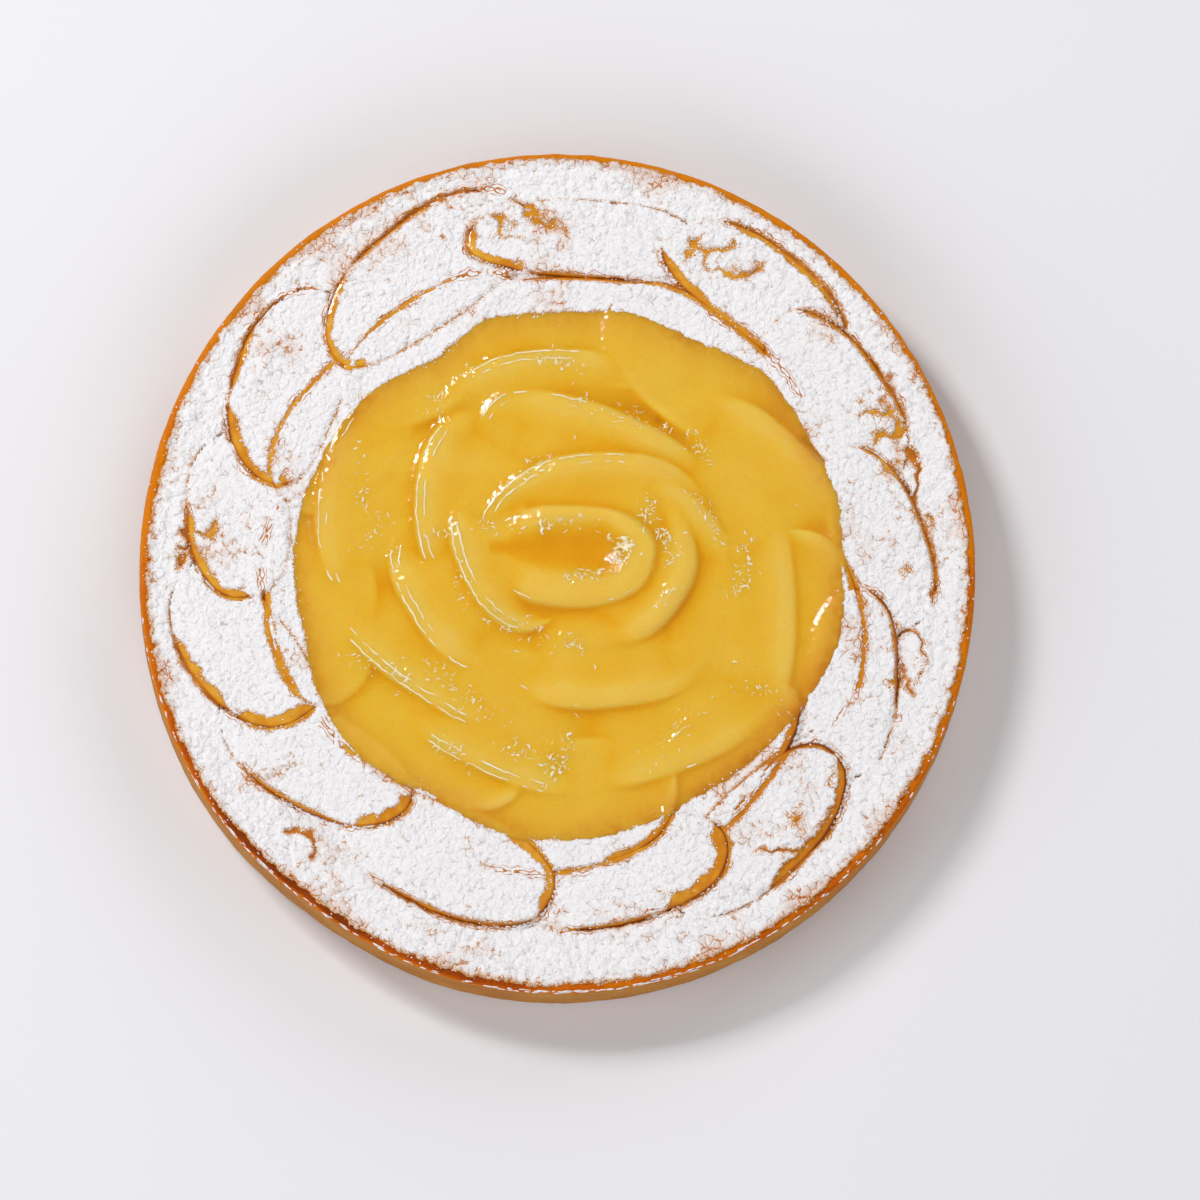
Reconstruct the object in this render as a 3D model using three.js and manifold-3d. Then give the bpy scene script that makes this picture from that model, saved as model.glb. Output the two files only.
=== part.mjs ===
// A round pear tart, 28 cm across: a thin, straight-sided shortcrust shell, a domed almond-cream filling that
// puffs up against the crust, a ring of baked pear slices, a second ring inside it, and a rose of pear slices
// in the middle. Millimetres, +Z up. The origin is the middle of the underside of the crust.
import * as THREE from 'three';
import { mergeVertices } from 'three/addons/utils/BufferGeometryUtils.js';
import Module from 'manifold-3d';

const wasm = await Module();
wasm.setup();

// Crust
const RIM_RADIUS = 141.2; // mean outside radius of the rim
const RIM_OVAL = 1.2; // the rim's radius is this much more along Y and this much less along X
const CRUST_HEIGHT = 27;
const BASE_FLARE = 0.8; // the foot stands this far outside the rim
const FOOT_BEVEL = 1;
const WALL = 3.6; // thickness of the wall at its top
const FLOOR = 3.6; // thickness of the base
const SHOULDER = 1.6; // rounding of the outer top edge
const DENT_DEPTH = 1.8; // the side is pressed in here
const DENT_ANGLE = 236;
const DENT_SPREAD = 15;
const ROUND_STEPS = 72; // segments around the crust and the filling

// Filling
const GAP = 0.35; // clearance kept between neighbouring pieces
const DOME_EDGE_Z = 21; // top of the filling below the outer slices
const DOME_RISE = 2.6; // extra height of the filling in the middle
const DOME_RADIUS = 122;
const BORDER_Z = 25.6; // top of the puffed border between slices and crust

// Slices
const SIDES = 16; // corners around one slice
const ROUNDNESS = 2.3; // 2 would be an ellipse, more is squarer
const UNDERSIDE = 0.45; // clearance between a slice and the dome of the filling
const CUT_TOP = 45; // the cutting bodies reach up to this height
const TIP_START = 0.3; // share of the half-length from which a slice sinks towards its tip
const SLIVER = 0.06; // edges and bumps smaller than this are smoothed away after the cuts

// Colours
const CRUST_COLOUR = 0xbe7930;
const CREAM_COLOUR = 0xd9a05a;
const RING_COLOUR = 0xd9b04a;
const ROSE_COLOUR = 0xe0b544;

// One tier of slices. z is the height of the rim, lift the rise from the middle to the front end, tips how far
// the front and the back end sink, crown the rise of the middle over the rim, bevel and drop the width and
// depth of the rounded edge. A slice is [angle, radius, skew, length, belly, back]: the middle of its chord
// lies at the angle and radius, the chord is turned from the tangent by skew, and the outline bulges out from
// the chord by belly and in by back. The front end lies over the next slice anticlockwise.
const TIERS = [
  {
    name: 'heart', z: 28.8, lift: 0, tips: [0, 0], crown: -0.4, bevel: 2, drop: 0.6, colour: ROSE_COLOUR,
    slices: [[85, 6, 2, 43, 6, 9]],
  },
  {
    name: 'curl', z: 32, lift: 0, tips: [3.6, 0], crown: -0.3, bevel: 2.8, drop: 2, colour: ROSE_COLOUR,
    slices: [[42, 6.2, 45, 54, 17, 17]],
  },
  {
    name: 'inner_petal', z: 30.7, lift: 0, tips: [1.7, 3], crown: -0.9, bevel: 4, drop: 1.9, colour: ROSE_COLOUR,
    slices: [[23, 15, 69, 80, 34, 10], [161, 17, 43, 53, 18, 15], [45, 11, -76, 63, 38, 8]],
  },
  {
    name: 'middle_petal', z: 29.5, lift: 0, tips: [2.2, 2.8], crown: -0.9, bevel: 3.4, drop: 1.8, colour: ROSE_COLOUR,
    slices: [
      [73, 40, -3, 82, 17, 22], [141, 37, 33, 62, 19, 22], [193, 34, 20, 59, 18, 22], [298, 32, -25, 69, 19, 22],
      [28, 29, 24, 80, 21, 20],
    ],
  },
  {
    name: 'outer_petal', z: 28.3, lift: 0, tips: [1.9, 2.5], crown: -0.8, bevel: 3.4, drop: 1.7, colour: ROSE_COLOUR,
    slices: [
      [94, 51, 1, 73, 24, 24], [158, 62, 17, 76, 23, 27], [214, 47, 21, 86, 19, 24], [251, 58, -4, 75, 15, 30],
      [305, 65, -14, 78, 15, 30], [348, 64, 13, 84, 17, 28], [24, 74, 20, 75, 19, 28],
    ],
  },
  {
    name: 'inner_slice', z: 27.2, lift: 0.5, tips: [0, 0.9], crown: -0.3, bevel: 2.6, drop: 1.8, colour: RING_COLOUR,
    slices: [
      [345, 82, 18, 70, 23, 22], [54, 86, -4, 78, 17, 24], [81, 82, 4, 84, 19, 20], [119, 88, 5, 70, 16, 24],
      [146, 87, -3, 65, 17, 22], [187, 82, -2, 71, 17, 22], [230, 73, 10, 79, 17, 20], [270, 78, 5, 78, 24, 22],
      [311, 87, 12, 65, 14, 22],
    ],
  },
  {
    name: 'outer_slice', z: 26.7, lift: 0.6, tips: [0, 1.2], crown: 0.4, bevel: 3, drop: 2, colour: RING_COLOUR,
    slices: [
      [113, 104, 13, 83, 26, 12], [144, 105, 18, 70, 24, 13], [170, 107, 17, 58, 19, 15], [193, 106, 26, 64, 22, 13],
      [217, 101, 22, 71, 20, 15], [249, 100, -3, 76, 22, 15], [282, 104, 4, 72, 17, 17], [307, 110, 6, 74, 18, 16],
      [339, 106, 19, 64, 15, 16], [6, 109, 14, 63, 15, 17], [32, 111, 3, 66, 17, 17], [54, 110, -2, 75, 23, 9],
      [85, 110, 2, 80, 17, 10],
    ],
  },
];

const radians = (degrees) => (degrees * Math.PI) / 180;

// How far the outline of the shell departs from round, in a direction given in degrees.
function swell(angle) {
  const away = ((angle - DENT_ANGLE + 540) % 360) - 180;
  return -RIM_OVAL * Math.cos(radians(2 * angle)) - DENT_DEPTH * Math.exp(-((away / DENT_SPREAD) ** 2));
}

// Height of the domed top of the filling at a distance from the axis.
function domeHeight(radius) {
  const part = Math.min(radius / DOME_RADIUS, 1);
  return DOME_EDGE_Z + DOME_RISE * (1 - part * part);
}

// Turns a profile of [radius, height] about Z and gives it the shell's outline. The middle stays put.
function turned(profile) {
  const points = profile.map(([radius, height]) => new THREE.Vector2(radius, height));
  const geometry = new THREE.LatheGeometry(points, ROUND_STEPS);
  geometry.rotateX(Math.PI / 2);
  const position = geometry.attributes.position;
  for (let i = 0; i < position.count; i += 1) {
    const x = position.getX(i);
    const y = position.getY(i);
    const radius = Math.hypot(x, y);
    if (radius > 1e-6) {
      const share = Math.min(radius / RIM_RADIUS, 1) ** 2;
      const angle = (THREE.MathUtils.radToDeg(Math.atan2(y, x)) + 360) % 360;
      const factor = (radius + share * swell(angle)) / radius;
      position.setXY(i, x * factor, y * factor);
    }
  }
  return geometry;
}

// A closed geometry as a solid that can be cut.
function solidOf(geometry) {
  geometry.deleteAttribute('normal');
  geometry.deleteAttribute('uv');
  const merged = mergeVertices(geometry, 1e-4);
  const vertProperties = new Float32Array(merged.attributes.position.array);
  const triVerts = new Uint32Array(merged.index.array);
  return new wasm.Manifold(new wasm.Mesh({ numProp: 3, vertProperties, triVerts }));
}

// The largest body of a solid, as a geometry, without the slivers that cutting leaves.
function geometryOf(solid) {
  const bodies = solid.simplify(SLIVER).decompose().sort((a, b) => b.volume() - a.volume());
  const mesh = bodies[0].getMesh();
  const geometry = new THREE.BufferGeometry();
  geometry.setAttribute('position', new THREE.BufferAttribute(new Float32Array(mesh.vertProperties), 3));
  geometry.setIndex(new THREE.BufferAttribute(new Uint32Array(mesh.triVerts), 1));
  return geometry.toNonIndexed();
}

// Corner number i of a slice's outline in its own axes: x along the chord to the front, y outwards.
// grow moves it out and inset moves it in, both in millimetres.
function corner(slice, i, grow, inset) {
  const [, , , length, belly, back] = slice;
  const turn = (2 * Math.PI * i) / SIDES;
  const along = Math.sign(Math.cos(turn)) * Math.abs(Math.cos(turn)) ** (2 / ROUNDNESS);
  const across = Math.abs(Math.sin(turn)) ** (2 / ROUNDNESS);
  const outward = Math.sin(turn) >= 0;
  const x = along * (length / 2 + grow - inset);
  if (outward) {
    return [x, across * (belly + grow - inset)];
  }
  return [x, -across * (back + grow - inset)];
}

// A point of a slice, from its own axes to the tart's.
function placed(slice, x, y) {
  const [angle, radius, skew] = slice;
  const heading = radians(angle + 90 + skew);
  const middleX = radius * Math.cos(radians(angle));
  const middleY = radius * Math.sin(radians(angle));
  return [
    middleX + x * Math.cos(heading) + y * Math.sin(heading),
    middleY + x * Math.sin(heading) - y * Math.cos(heading),
  ];
}

// Height of the top of a slice before its edge is rounded: it tilts, and sinks towards its two ends.
function topHeight(tier, slice, x) {
  const along = x / (slice[3] / 2);
  const [frontTip, backTip] = tier.tips;
  const sink = frontTip * THREE.MathUtils.smoothstep(along, TIP_START, 1);
  const backSink = backTip * THREE.MathUtils.smoothstep(-along, TIP_START, 1);
  return tier.z + tier.lift * along - sink - backSink;
}

// A closed body from rings of points, the first ring at the bottom, with a point to close each end.
function bodyFromRings(rings, bottom, top) {
  const corners = [];
  const triangle = (a, b, c) => corners.push(...a, ...b, ...c);
  for (let i = 0; i < SIDES; i += 1) {
    const j = (i + 1) % SIDES;
    triangle(bottom, rings[0][j], rings[0][i]);
    triangle(top, rings[rings.length - 1][i], rings[rings.length - 1][j]);
    for (let k = 0; k + 1 < rings.length; k += 1) {
      triangle(rings[k][i], rings[k][j], rings[k + 1][j]);
      triangle(rings[k][i], rings[k + 1][j], rings[k + 1][i]);
    }
  }
  // The corners run anticlockwise seen from above only when the slice's own Y is turned over.
  for (let t = 0; t < corners.length; t += 9) {
    const second = corners.slice(t + 3, t + 6);
    const third = corners.slice(t + 6, t + 9);
    corners.splice(t + 3, 6, ...third, ...second);
  }
  const geometry = new THREE.BufferGeometry();
  geometry.setAttribute('position', new THREE.BufferAttribute(new Float32Array(corners), 3));
  return geometry;
}

// The slice itself: a wall from the filling up to the foot of the rounded edge, the edge, and a shallow top.
function sliceSolid(tier, slice) {
  const [, , , , belly, back] = slice;
  const ring = (inset, heightAt) => {
    const points = [];
    for (let i = 0; i < SIDES; i += 1) {
      const [x, y] = corner(slice, i, 0, inset);
      const [px, py] = placed(slice, x, y);
      points.push([px, py, heightAt(x, y, Math.hypot(px, py))]);
    }
    return points;
  };
  const under = (x, y, radius) => domeHeight(radius) + UNDERSIDE;
  const foot = (x) => topHeight(tier, slice, x) - tier.drop;
  const rim = (x) => topHeight(tier, slice, x);
  const middleY = (belly - back) / 2;
  const [cx, cy] = placed(slice, 0, middleY);
  const rings = [ring(0, under), ring(0, foot), ring(Math.min(tier.bevel, back * 0.6), rim)];
  const bottomPoint = [cx, cy, under(0, 0, Math.hypot(cx, cy))];
  const topPoint = [cx, cy, topHeight(tier, slice, 0) + tier.crown];
  return solidOf(bodyFromRings(rings, bottomPoint, topPoint));
}

// The column of space a slice needs: its outline grown by the gap, from just under it to above the tart.
function cutterSolid(slice) {
  const [, , , , belly, back] = slice;
  const points = (heightAt) => {
    const ring = [];
    for (let i = 0; i < SIDES; i += 1) {
      const [px, py] = placed(slice, ...corner(slice, i, GAP, 0));
      ring.push([px, py, heightAt(Math.hypot(px, py))]);
    }
    return ring;
  };
  const low = (radius) => domeHeight(radius) + UNDERSIDE - GAP;
  const high = () => CUT_TOP;
  const middleY = (belly - back) / 2;
  const [cx, cy] = placed(slice, 0, middleY);
  const bottomPoint = [cx, cy, low(Math.hypot(cx, cy))];
  return solidOf(bodyFromRings([points(low), points(high)], bottomPoint, [cx, cy, CUT_TOP]));
}

// A mesh with its name and its look.
function piece(name, geometry, colour, roughness) {
  geometry.computeVertexNormals();
  const material = new THREE.MeshStandardMaterial({ color: colour, roughness, metalness: 0, flatShading: true });
  const mesh = new THREE.Mesh(geometry, material);
  mesh.name = name;
  return mesh;
}

const tart = new THREE.Group();
tart.name = 'pear_tart';

// Crust: base, wall and rounded top edge in one piece.
const innerWall = RIM_RADIUS - WALL;
const crustProfile = [
  [0, 0],
  [RIM_RADIUS + BASE_FLARE - FOOT_BEVEL, 0],
  [RIM_RADIUS + BASE_FLARE, FOOT_BEVEL],
  [RIM_RADIUS, CRUST_HEIGHT - SHOULDER],
  [RIM_RADIUS - SHOULDER * 0.35, CRUST_HEIGHT - SHOULDER * 0.3],
  [RIM_RADIUS - SHOULDER, CRUST_HEIGHT],
  [innerWall, CRUST_HEIGHT - 0.3],
  [innerWall, FLOOR],
  [0, FLOOR],
];
tart.add(piece('tart_crust', turned(crustProfile), CRUST_COLOUR, 0.7));

// Filling: fills the shell, domes up under the slices and puffs up into a border against the crust.
const creamRadius = innerWall - GAP;
const creamProfile = [
  [0, FLOOR + GAP],
  [creamRadius, FLOOR + GAP],
  [creamRadius, BORDER_Z],
  [131, BORDER_Z],
  [125, BORDER_Z - 1],
  [DOME_RADIUS - 2, domeHeight(DOME_RADIUS - 2)],
  [90, domeHeight(90)],
  [60, domeHeight(60)],
  [30, domeHeight(30)],
  [0, domeHeight(0)],
];
let cream = solidOf(turned(creamProfile));

// Slices: a slice gives way to every slice of the tiers above it and, in its own tier, to the one before it and
// to any earlier one but the one after it.
const above = [];
for (const tier of TIERS) {
  const cutters = tier.slices.map(cutterSolid);
  tier.slices.forEach((slice, index) => {
    let body = sliceSolid(tier, slice);
    for (const cutter of above) {
      body = body.subtract(cutter);
    }
    const count = tier.slices.length;
    const before = (index + count - 1) % count;
    const after = (index + 1) % count;
    cutters.forEach((cutter, other) => {
      if (other !== index && (other === before || (other < index && other !== after))) {
        body = body.subtract(cutter);
      }
    });
    if (tier.name === 'outer_slice') {
      cream = cream.subtract(cutters[index]);
    }
    const number = String(index + 1).padStart(2, '0');
    tart.add(piece(`${tier.name}_${number}`, geometryOf(body), tier.colour, 0.35));
  });
  above.push(...cutters);
}
tart.add(piece('almond_cream', geometryOf(cream), CREAM_COLOUR, 0.8));

export default tart;
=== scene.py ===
"""The looks of a round pear tart: baked crust, almond cream, pear slices, syrup and icing sugar."""

import math

import bpy
import numpy as np
from mathutils import Matrix, Vector


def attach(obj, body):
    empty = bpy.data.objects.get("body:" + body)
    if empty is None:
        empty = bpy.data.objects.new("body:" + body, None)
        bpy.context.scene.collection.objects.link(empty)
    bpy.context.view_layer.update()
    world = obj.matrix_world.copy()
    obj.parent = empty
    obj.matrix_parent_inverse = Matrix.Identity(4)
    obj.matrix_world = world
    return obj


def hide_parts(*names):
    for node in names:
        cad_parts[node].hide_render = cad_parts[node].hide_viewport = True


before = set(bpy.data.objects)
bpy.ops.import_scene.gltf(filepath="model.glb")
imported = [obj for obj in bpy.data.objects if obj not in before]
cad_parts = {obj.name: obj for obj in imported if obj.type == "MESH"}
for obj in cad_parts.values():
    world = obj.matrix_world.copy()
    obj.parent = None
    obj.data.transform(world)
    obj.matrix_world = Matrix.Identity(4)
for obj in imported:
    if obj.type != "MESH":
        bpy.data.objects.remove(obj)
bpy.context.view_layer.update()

MM = 0.001

# ---- Sizes in millimetres, the same as the solid model's ----
RIM_RADIUS = 141.2
RIM_OVAL = 1.2  # longer than round along Y by this much, shorter along X
CRUST_HEIGHT = 27
BASE_FLARE = 0.8
WALL = 3.6
FLOOR = 3.6
SHOULDER = 1.6
DENT_DEPTH = 1.8
DENT_ANGLE = 236
DENT_SPREAD = 15
DOME_EDGE_Z = 21
DOME_RISE = 2.6
DOME_RADIUS = 122
BORDER_Z = 25.6
CREAM_RISE = 2.2  # how much higher the cream has baked between the slices of the ring
ROUNDNESS = 2.3  # of a slice's outline: 2 is an ellipse, more is squarer

# Tiers of slices from the middle outwards. z is the height of the rim, lift the rise from the middle to the
# front end, and tips how far the front and the back end sink. bevel and drop are the width and depth of the
# rounded edge. lip is how far the rim stands proud, dish how far the face sinks behind it over a distance of
# reach, and fold how much more it sinks towards the tips.
# A slice is [angle, radius, skew, length, belly, back].
TIERS = [
    dict(
        name="heart", z=28.6, lift=0, tips=(0, 0), bevel=1, drop=0, lip=0, dish=0, reach=8, fold=0,
        slices=[[85, 6, 2, 43, 6, 9]],
    ),
    dict(
        name="curl", z=32, lift=0, tips=(3.6, 0), bevel=4.0, drop=1.5, lip=0.1, dish=0.5, reach=9, fold=0.0,
        slices=[[42, 6.2, 45, 54, 17, 17]],
    ),
    dict(
        name="inner_petal", z=30.7, lift=0, tips=(1.7, 3.0),
        bevel=4.4, drop=1.4, lip=0.15, dish=1.1, reach=13, fold=0.4,
        slices=[[23, 15, 69, 80, 34, 10], [161, 17, 43, 53, 18, 15], [45, 11, -76, 63, 38, 8]],
    ),
    dict(
        name="middle_petal", z=29.5, lift=0, tips=(2.2, 2.8),
        bevel=4.2, drop=1.3, lip=0.1, dish=0.9, reach=14, fold=0.4,
        slices=[[73, 40, -3, 82, 17, 22], [141, 37, 33, 62, 19, 22], [193, 34, 20, 59, 18, 22],
                [298, 32, -25, 69, 19, 22], [28, 29, 24, 80, 21, 20]],
    ),
    dict(
        name="outer_petal", z=28.3, lift=0, tips=(1.9, 2.5),
        bevel=4.2, drop=1.3, lip=0.1, dish=0.8, reach=15, fold=0.3,
        slices=[[94, 51, 1, 73, 24, 24], [158, 62, 17, 76, 23, 27], [214, 47, 21, 86, 19, 24],
                [251, 58, -4, 75, 15, 30], [305, 65, -14, 78, 15, 30], [348, 64, 13, 84, 17, 28],
                [24, 74, 20, 75, 19, 28]],
    ),
    dict(
        name="inner_slice", z=27.2, lift=0.5, tips=(0, 0.9),
        bevel=2.6, drop=1.8, lip=0.1, dish=0.4, reach=12, fold=0.6,
        slices=[[345, 82, 18, 70, 23, 22], [54, 86, -4, 78, 17, 24], [81, 82, 4, 84, 19, 20],
                [119, 88, 5, 70, 16, 24], [146, 87, -3, 65, 17, 22], [187, 82, -2, 71, 17, 22],
                [230, 73, 10, 79, 17, 20], [270, 78, 5, 78, 24, 22], [311, 87, 12, 65, 14, 22]],
    ),
    dict(
        name="outer_slice", z=26.7, lift=0.6, tips=(0, 1.2),
        bevel=3.0, drop=2.0, lip=0, dish=-0.4, reach=10, fold=0,
        slices=[[113, 104, 13, 83, 26, 12], [144, 105, 18, 70, 24, 13], [170, 107, 17, 58, 19, 15],
                [193, 106, 26, 64, 22, 13], [217, 101, 22, 71, 20, 15], [249, 100, -3, 76, 22, 15],
                [282, 104, 4, 72, 17, 17], [307, 110, 6, 74, 18, 16], [339, 106, 19, 64, 15, 16],
                [6, 109, 14, 63, 15, 17], [32, 111, 3, 66, 17, 17], [54, 110, -2, 75, 23, 9],
                [85, 110, 2, 80, 17, 10]],
    ),
]
SLICES = [
    (tier, piece, f"{tier['name']}_{index + 1:02d}")
    for tier in TIERS
    for index, piece in enumerate(tier["slices"])
]
FIRST_SLICE = 2  # of the layers that heights() gives, after the almond cream and the crust
TIP_START = 0.3  # share of the half-length from which a slice sinks towards its tip

# The hollow in the middle of the rose: a trough that widens from its left end to its right end.
HOLLOW_START, HOLLOW_END = (-21, 7.0), (14, 6.6)
HOLLOW_WIDTHS = (4, 19)
HOLLOW_Z = 28.7
HOLLOW_RISE = 0.9  # of its floor, towards the narrow end
HOLLOW_BANK = 3.0
BRINK = 0.4  # rounding where the trough meets the slices round it

# Where the sugar has slid off a slice's edge: [from, to, width], with angles round the outline in degrees,
# 0 at the front end, 90 on the outer side, 180 at the back and 270 on the inner side.
BARE_EDGES = {
    "outer_slice_01": [[-40, 60, 2.0], [60, 165, 1.0]],
    "outer_slice_02": [[-25, 70, 2.8], [70, 120, 1.6], [120, 165, 1.0]],
    "outer_slice_03": [[0, 100, 2.4]],
    "outer_slice_04": [[-15, 60, 3.4], [60, 125, 2.6]],
    "outer_slice_05": [[-15, 50, 3.4], [50, 120, 0.8]],
    "outer_slice_06": [[-70, 25, 2.6], [25, 120, 0.8]],
    "outer_slice_07": [[-25, 75, 4.0], [75, 130, 0.7]],
    "outer_slice_08": [[-70, 0, 1.2], [0, 110, 2.8]],
    "outer_slice_09": [[10, 110, 0.7]],
    "outer_slice_10": [[10, 140, 0.8]],
    "outer_slice_11": [[20, 130, 1.2]],
    "outer_slice_12": [[-90, -10, 2.8], [50, 150, 2.0]],
    "outer_slice_13": [[-60, 20, 2.8], [-100, -60, 0.8]],
    "inner_slice_01": [[40, 150, 2.0]],
    "inner_slice_02": [[20, 165, 1.4]],
    "inner_slice_03": [[50, 130, 0.7]],
    "inner_slice_04": [[60, 110, 0.8], [110, 170, 1.8]],
    "inner_slice_05": [[20, 150, 0.7]],
    "inner_slice_06": [[20, 165, 1.9]],
    "inner_slice_07": [[80, 165, 2.0]],
    "inner_slice_08": [[0, 75, 1.8], [75, 130, 0.6]],
    "inner_slice_09": [[0, 150, 2.8]],
}

# Radius of the sugar's inner edge, every 15 degrees from +X.
SUGAR_INNER = [95, 96, 95, 96, 90, 90, 87, 88, 82, 86, 87, 88, 88, 87, 90, 91, 86, 90, 91, 90, 89, 91, 93, 96]
SUGAR_INNER_STEP = 15

# Where the glaze is wrinkled, and where flecks of cream are painted on it as highlights: x, y and reach in
# mm, and how strongly.
WRINKLES_AND_GLINTS = [
    (22.5, 5.7, 3.4, 1), (17, 10, 3, 0.4), (5.8, -3.1, 4, 0.7), (13, -2, 4, 0.7), (-4.3, 14.1, 3, 0.8),
    (6, 16, 3.5, 0.6), (30, 20, 4, 0.9), (34, 13, 4, 0.9), (38.2, 4, 4, 0.7), (36, -10, 4, 0.5),
    (47.6, 22.6, 4, 0.8), (52, 14, 4, 0.5), (5.8, -26.4, 4, 0.8), (-5, -23, 4, 0.6), (-16, -19.7, 5, 0.6),
    (-32, -8, 5, 0.5), (-40, 12, 4, 0.5), (62.7, 5, 5, 0.8), (60, -6, 5, 0.5), (-28, -45, 6, 0.6),
    (-40, -35, 6, 0.6), (-12, -62, 6, 0.7), (2, -62, 5, 1), (-34, -64, 6, 0.5), (-1, 71, 5, 0.8),
    (-42, 58, 7, 0.5), (12, 56, 6, 0.5), (28, 52, 5, 0.6), (66, -40, 8, 0.4), (-66, 30, 7, 0.5),
    (-62, 12, 6, 0.5), (40, -55, 8, 0.5), (-24, 14, 5, 0.5), (46, 44, 6, 0.5), (-6, 36, 6, 0.4),
    (22, 8, 1.6, 1), (19.2, 3.6, 2.4, 1), (-53, -38, 5, 0.6), (-65, -32, 5, 0.5),
]
LEAST_WRINKLED = 0.12

# Unevenness, as the height of the bumps and their size across in mm, and a seed.
CREAM_PUFFS = [(0.35, 9, 5), (0.15, 3, 6)]
PASTRY_ROUGHNESS = [(0.16, 5, 21), (0.09, 1.7, 22)]
BAKED_UNEVENLY = [(0.1, 6, 11), (0.08, 1.5, 12)]
SUGAR_RAGGED = [(0.55, 3.2, 34), (0.4, 1.2, 35), (0.2, 0.6, 36)]
SUGAR_CRACKLE = [(1, 8, 51), (0.35, 2.5, 52)]
SUGAR_PATCHES = [(1, 15, 41), (0.5, 5, 42)]


# ---- Shapes as functions of x and y, in millimetres ----
def smooth(value, low, high):
    """0 below low, 1 above high, and an even S between them."""
    part = np.clip((value - low) / (high - low), 0, 1)
    return part * part * (3 - 2 * part)


def hump(away, spread):
    """1 where away is 0, falling off to 0 over about spread on both sides."""
    return np.exp(-((away / spread) ** 2))


def rounded_edge(inside, width):
    """How far a rounded edge has dropped, as a share of its depth, at a distance inside its outline."""
    inset = np.clip(1 - inside / width, 0, 0.999)
    return 1 - np.sqrt(1 - inset**2)


def polar(radius, angle):
    """x and y of a place, from its distance from the middle and its direction in degrees."""
    return radius * np.cos(np.radians(angle)), radius * np.sin(np.radians(angle))


def bearing(x, y):
    """Direction of a place from the middle, from 0 to 360 degrees."""
    return np.degrees(np.arctan2(y, x)) % 360


def off_angle(angle, middle):
    """How far a direction is from another one, from -180 to 180 degrees."""
    return (np.asarray(angle) - middle + 540) % 360 - 180


def between_corners(corner, s, t):
    """The value inside a cell of a grid, s and t of the way across it, from corner(0 or 1, 0 or 1)."""
    near = corner(0, 0) * (1 - s) + corner(1, 0) * s
    far = corner(0, 1) * (1 - s) + corner(1, 1) * s
    return near * (1 - t) + far * t


def soft_noise(x, y, size, seed):
    """Smooth noise from -1 to 1 whose bumps are about size across."""
    table = np.random.default_rng(seed).uniform(-1, 1, (64, 64))
    turn = 0.7 + seed
    u = (x * math.cos(turn) + y * math.sin(turn)) / size + 1000
    v = (y * math.cos(turn) - x * math.sin(turn)) / size + 1000
    i, j = np.floor(u).astype(int), np.floor(v).astype(int)
    s, t = smooth(u - i, 0, 1), smooth(v - j, 0, 1)
    return between_corners(lambda right, up: table[(i + right) % 64, (j + up) % 64], s, t)


def bumps(x, y, parts):
    """The sum of several smooth noises, each given as its height, the size of its bumps and a seed."""
    return sum(height * soft_noise(x, y, size, seed) for height, size, seed in parts)


def clumps(x, y, size, seed):
    """Round-topped heaps packed side by side, about size across: 1 on top of a heap, 0 in the creases."""
    jitter = np.random.default_rng(seed).uniform(0, 1, (64, 64, 3))
    u, v = x / size + 1000, y / size + 1000
    i, j = np.floor(u).astype(int), np.floor(v).astype(int)
    best = np.zeros_like(u)
    for di in (-1, 0, 1):
        for dj in (-1, 0, 1):
            spot = jitter[(i + di) % 64, (j + dj) % 64]
            away = np.hypot(i + di + spot[..., 0] - u, j + dj + spot[..., 1] - v)
            best = np.maximum(best, (0.55 + 0.45 * spot[..., 2]) * (1 - (away / 0.95) ** 2))
    return best


def rim_radius(angle):
    """Outside radius of the rim in a direction given in degrees."""
    oval = -RIM_OVAL * np.cos(np.radians(2 * np.asarray(angle)))
    return RIM_RADIUS + oval - DENT_DEPTH * hump(off_angle(angle, DENT_ANGLE), DENT_SPREAD)


def stretched_to_rim(radius, angle):
    """A radius on a round tart, stretched so that the outermost one follows the uneven rim."""
    return radius + np.minimum(radius / RIM_RADIUS, 1) ** 2 * (rim_radius(angle) - RIM_RADIUS)


def slice_axes(piece):
    """Middle of a slice's chord and the unit vectors to its front end and to its outer side."""
    angle, radius, skew = piece[:3]
    heading = math.radians(angle + 90 + skew)
    middle = radius * math.cos(math.radians(angle)), radius * math.sin(math.radians(angle))
    return middle, (math.cos(heading), math.sin(heading)), (math.sin(heading), -math.cos(heading))


def wobble(turn, seed):
    """A slice's outline isn't quite true: a factor near 1 that changes round it."""
    a, b, c = np.random.default_rng(seed).uniform(0, 6.28, 3)
    return 1 + 0.016 * np.sin(2 * turn + a) + 0.012 * np.sin(3 * turn + b) + 0.006 * np.sin(7 * turn + c)


def outline_place(piece, seed, x, y):
    """Where points lie in a slice: depth inside its outline in mm (negative outside), angle round it in
    degrees, share from -1 to 1 along the chord to the front, and distance in from the outer edge in mm."""
    middle, front, out = slice_axes(piece)
    length, belly, back = piece[3:]
    u = (x - middle[0]) * front[0] + (y - middle[1]) * front[1]
    v = (x - middle[0]) * out[0] + (y - middle[1]) * out[1]
    half_length = length / 2
    half_width = np.where(v >= 0, belly, back)
    p, q = np.abs(u) / half_length + 1e-9, np.abs(v) / half_width + 1e-9
    turn = np.arctan2(v / half_width, u / half_length)
    share = (p**ROUNDNESS + q**ROUNDNESS) ** (1 / ROUNDNESS)
    steep = np.hypot(p ** (ROUNDNESS - 1) / half_length, q ** (ROUNDNESS - 1) / half_width)
    slope = share ** (1 - ROUNDNESS) * steep
    depth = (wobble(turn, seed) - share) / np.maximum(slope, 1e-4)
    inward = belly * np.maximum(1 - np.minimum(p, 1) ** ROUNDNESS, 0) ** (1 / ROUNDNESS) - v
    return np.minimum(depth, 30), np.degrees(turn), u / half_length, inward


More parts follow.
